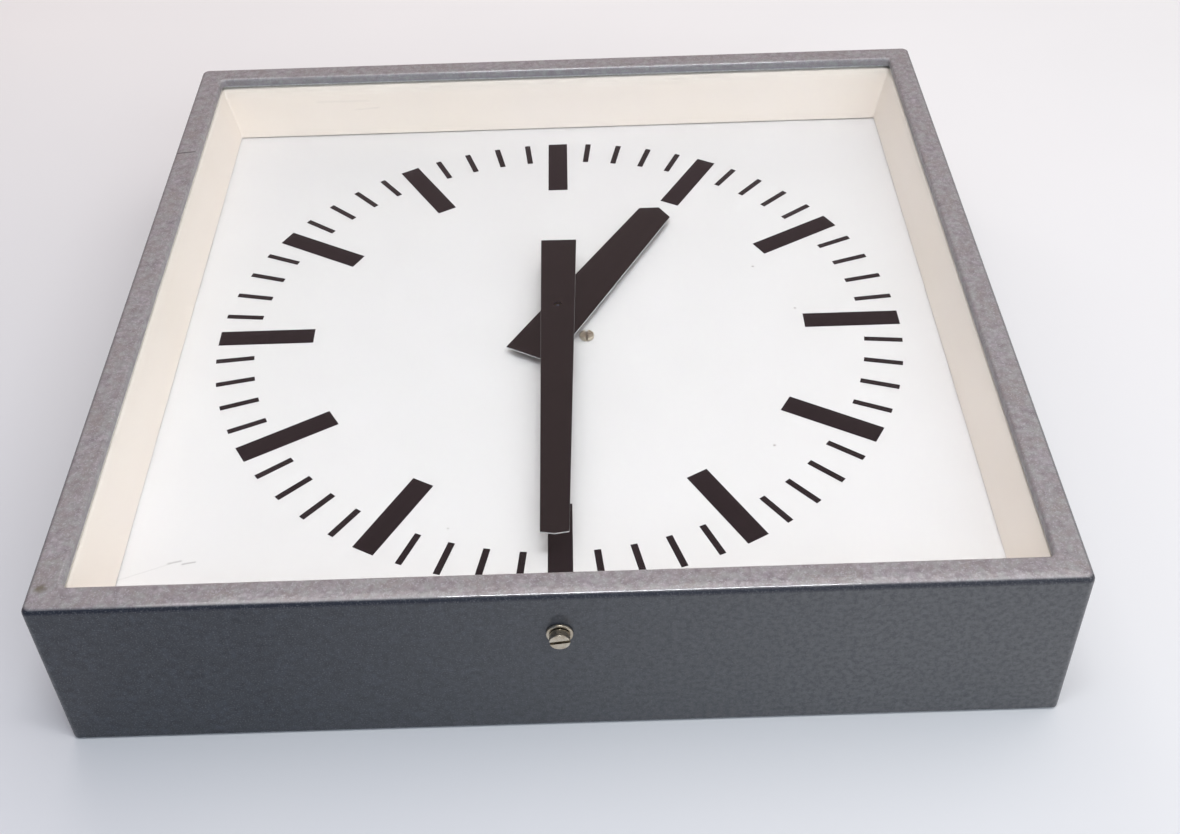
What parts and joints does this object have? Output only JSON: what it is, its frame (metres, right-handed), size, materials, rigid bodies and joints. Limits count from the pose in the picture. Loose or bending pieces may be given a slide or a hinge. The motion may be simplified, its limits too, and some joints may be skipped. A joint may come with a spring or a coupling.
{
  "type": "square wall clock",
  "caption": "Square slave wall clock with a deep sheet-metal cover, sloping cream liner, batten dial, two coupled hands and an impulse movement.",
  "frame": {"origin": "centre of the back plate's rear face, which rests on the wall or table", "axes": "+Z out of the dial towards the viewer, +Y towards twelve o'clock, +X towards three o'clock"},
  "size_m": [0.4, 0.4052, 0.079],
  "materials": {
    "hammertone": "grey hammertone stove enamel",
    "cream_enamel": "satin cream enamel",
    "white_enamel": "satin white enamel",
    "black_paint": "matte black paint",
    "zinc_steel": "zinc plated",
    "nickel": "nickel plated, dulled",
    "brass": "turned and lacquered",
    "laminated_iron": "stacked laminations",
    "magnet": "ground magnet",
    "copper_wire": "enamelled copper wire",
    "bakelite": "moulded",
    "rubber": "soft black",
    "lead_sleeve": "woven sleeve",
    "clear_glass": "clear float glass"
  },
  "bodies": {
    "base": {"back_plate": "zinc_steel", "latch_bracket": "zinc_steel", "dial_post_1": "zinc_steel", "dial_post_2": "zinc_steel", "dial_post_3": "zinc_steel", "dial_post_4": "zinc_steel", "cable_grommet": "rubber", "movement_rear_plate": "brass", "movement_front_plate": "brass", "movement_pillar_1": "brass", "movement_pillar_2": "brass", "movement_pillar_3": "brass", "plate_screw_1": "zinc_steel", "plate_screw_2": "zinc_steel", "plate_screw_3": "zinc_steel", "stator_pole_left": "laminated_iron", "stator_pole_right": "laminated_iron", "coil_core": "laminated_iron", "coil_bobbin": "bakelite", "terminal_block": "bakelite", "coil_winding": "copper_wire", "terminal_screw_1": "brass", "terminal_screw_2": "brass", "coil_lead_1": "lead_sleeve", "coil_lead_2": "lead_sleeve", "dial_plate": "white_enamel", "dial_spacer_1": "brass", "dial_spacer_2": "brass", "dial_spacer_3": "brass", "dial_screw_1": "nickel", "dial_screw_2": "nickel", "dial_screw_3": "nickel", "motion_stud": "zinc_steel"},
    "minute_train": {"centre_arbor": "zinc_steel", "centre_wheel": "brass", "cannon_pinion": "zinc_steel", "minute_hand_bush": "brass", "minute_hand": "black_paint"},
    "intermediate_train": {"intermediate_arbor": "zinc_steel", "intermediate_wheel": "brass"},
    "rotor": {"rotor_arbor": "zinc_steel", "rotor_magnet": "magnet"},
    "motion_work": {"motion_wheel": "brass"},
    "hour_train": {"hour_wheel": "brass", "hour_hand_bush": "brass", "hour_hand": "black_paint"},
    "cover": {"case_shell": "hammertone", "glass_gasket": "rubber", "glass_pane": "clear_glass", "inner_liner": "cream_enamel", "liner_clip_1": "zinc_steel", "liner_clip_2": "zinc_steel", "liner_clip_3": "zinc_steel", "liner_clip_4": "zinc_steel", "hanging_hook_left": "zinc_steel", "hanging_hook_right": "zinc_steel", "screw_collar": "nickel", "clamp_nut": "zinc_steel"},
    "case_screw": {"case_screw": "nickel"}
  },
  "joints": [
    {"name": "minute_hand_turn", "type": "hinge", "parent": "base", "child": "minute_train", "pos_m": [0, 0, 0.05], "axis": [0, 0, 1], "continuous": true},
    {"name": "hour_hand_turn", "type": "hinge", "parent": "base", "child": "hour_train", "pos_m": [0, 0, 0.04], "axis": [0, 0, 1], "continuous": true},
    {"name": "motion_wheel_turn", "type": "hinge", "parent": "base", "child": "motion_work", "pos_m": [0, -0.012, 0.037], "axis": [0, 0, 1], "continuous": true},
    {"name": "intermediate_wheel_turn", "type": "hinge", "parent": "base", "child": "intermediate_train", "pos_m": [-0.024, 0, 0.02], "axis": [0, 0, 1], "continuous": true},
    {"name": "rotor_turn", "type": "hinge", "parent": "base", "child": "rotor", "pos_m": [-0.024, -0.0196, 0.02], "axis": [0, 0, 1], "continuous": true},
    {"name": "cover_lift_off", "type": "slide", "parent": "base", "child": "cover", "axis": [0, 0, 1], "range_m": [0, 0.09]},
    {"name": "case_screw_turn", "type": "hinge", "parent": "cover", "child": "case_screw", "pos_m": [0, -0.2, 0.0581], "axis": [0, 1, 0], "continuous": true}
  ],
  "couplings": [
    {"joint": "intermediate_wheel_turn", "follows": "minute_hand_turn", "ratio": -5},
    {"joint": "rotor_turn", "follows": "minute_hand_turn", "ratio": 30},
    {"joint": "motion_wheel_turn", "follows": "minute_hand_turn", "ratio": -0.33333},
    {"joint": "hour_hand_turn", "follows": "minute_hand_turn", "ratio": 0.083333}
  ]
}
